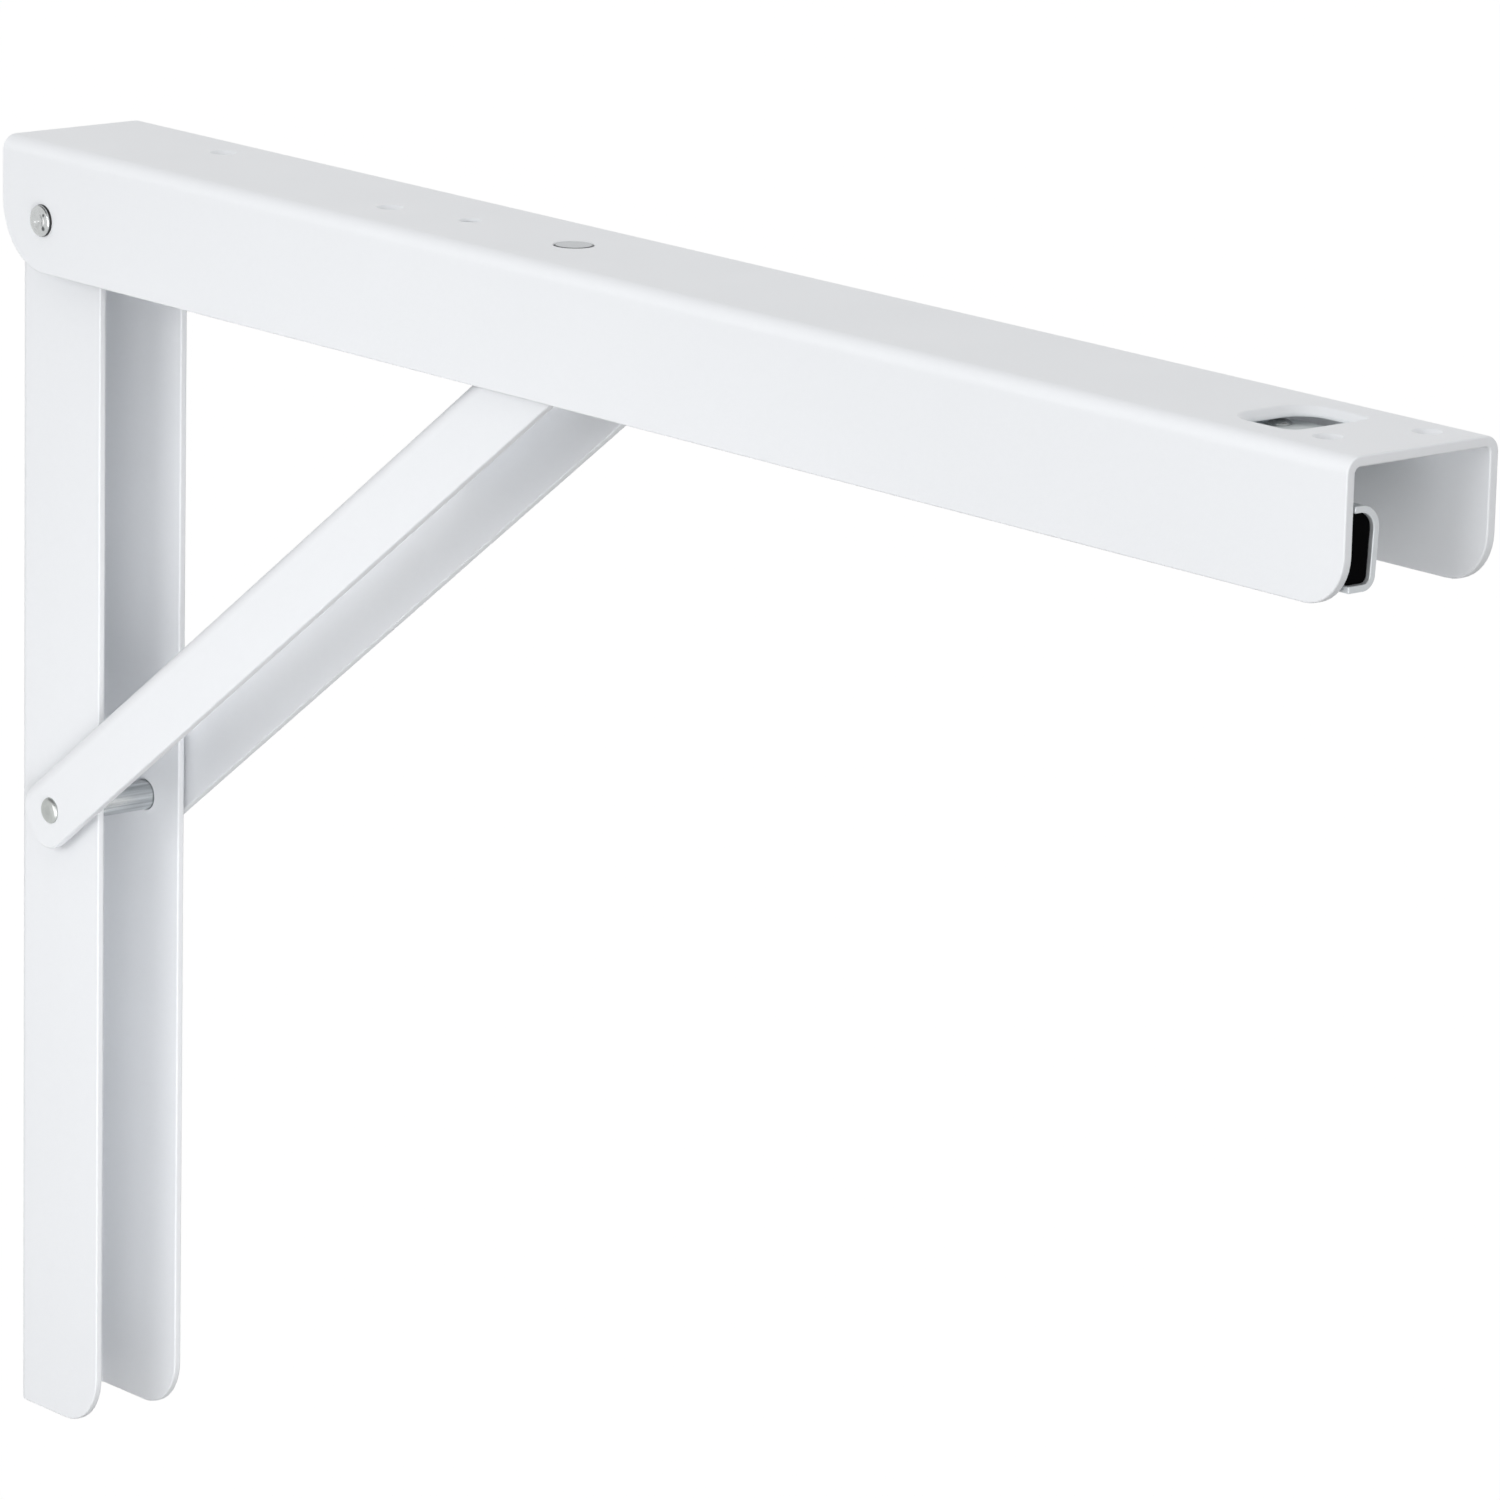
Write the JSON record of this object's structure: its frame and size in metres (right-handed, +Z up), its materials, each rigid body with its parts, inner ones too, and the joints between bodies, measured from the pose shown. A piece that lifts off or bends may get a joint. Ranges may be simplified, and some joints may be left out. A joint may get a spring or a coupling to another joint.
{
  "type": "drop leaf table bracket",
  "caption": "Folding bracket of three nested sheet-metal channels: a wall leg, a drop-down arm under a table leaf and a strut with a sliding latch and release lever.",
  "frame": {"origin": "centre of the middle wall screw hole, on the wall face of the leg", "axes": "+X out from the wall along the open arm, +Y across the bracket, +Z up to the table leaf"},
  "size_m": [0.505, 0.049, 0.347],
  "materials": {
    "white_coat": "satin powder coat with a fine texture",
    "coated_rivet": "satin powder coat",
    "zinc_steel": "bright zinc plate",
    "bare_steel": "polished rivet steel",
    "spring_steel": "spring wire",
    "black_nylon": "moulded nylon",
    "black_rubber": "matt"
  },
  "bodies": {
    "leg": {"wall_leg": "white_coat", "hinge_pin": "zinc_steel", "hinge_spacer_near": "zinc_steel", "hinge_spacer_far": "zinc_steel"},
    "arm": {"arm_channel": "white_coat", "hinge_bush_near": "black_nylon", "hinge_bush_far": "black_nylon", "guide_rail": "zinc_steel", "stop_rivet": "coated_rivet", "stop_bumper": "black_rubber", "lever_stud": "zinc_steel", "lever_washer": "zinc_steel", "lever_clip": "spring_steel", "return_spring": "spring_steel"},
    "strut": {"strut_channel": "white_coat", "strut_pin": "bare_steel", "strut_washer_near": "black_nylon", "strut_washer_far": "black_nylon", "top_pin": "bare_steel", "top_sleeve_near": "black_nylon", "top_sleeve_far": "black_nylon"},
    "slider": {"slider_shoe": "black_nylon", "slider_hook": "zinc_steel", "slider_rivets": "bare_steel"},
    "lever": {"release_lever": "zinc_steel", "finger_grip": "zinc_steel", "grip_liner": "black_rubber", "grip_rivets": "bare_steel", "spring_post": "bare_steel"}
  },
  "joints": [
    {"name": "arm_fold", "type": "hinge", "parent": "leg", "child": "arm", "pos_m": [0.023, 0, 0.17], "axis": [0, 1, 0], "range_deg": [0, 90]},
    {"name": "strut_swing", "type": "hinge", "parent": "leg", "child": "strut", "pos_m": [0.021, 0, 0.0117], "axis": [0, 1, 0], "range_deg": [0, 126.79]},
    {"name": "slider_run", "type": "slide", "parent": "arm", "child": "slider", "axis": [1, 0, 0], "range_m": [0, 0.2123]},
    {"name": "lever_press", "type": "hinge", "parent": "arm", "child": "lever", "pos_m": [0.361, -0.0155, 0.1846], "axis": [0, 0, 1], "range_deg": [0, 1.8], "stiffness_Nm_per_rad": 0.6, "springref_deg": -14.32}
  ],
  "couplings": [
    {"joint": "strut_swing", "follows": "arm_fold", "ratio": 1.4087},
    {"joint": "slider_run", "follows": "arm_fold", "m_per_rad": 0.13514}
  ]
}
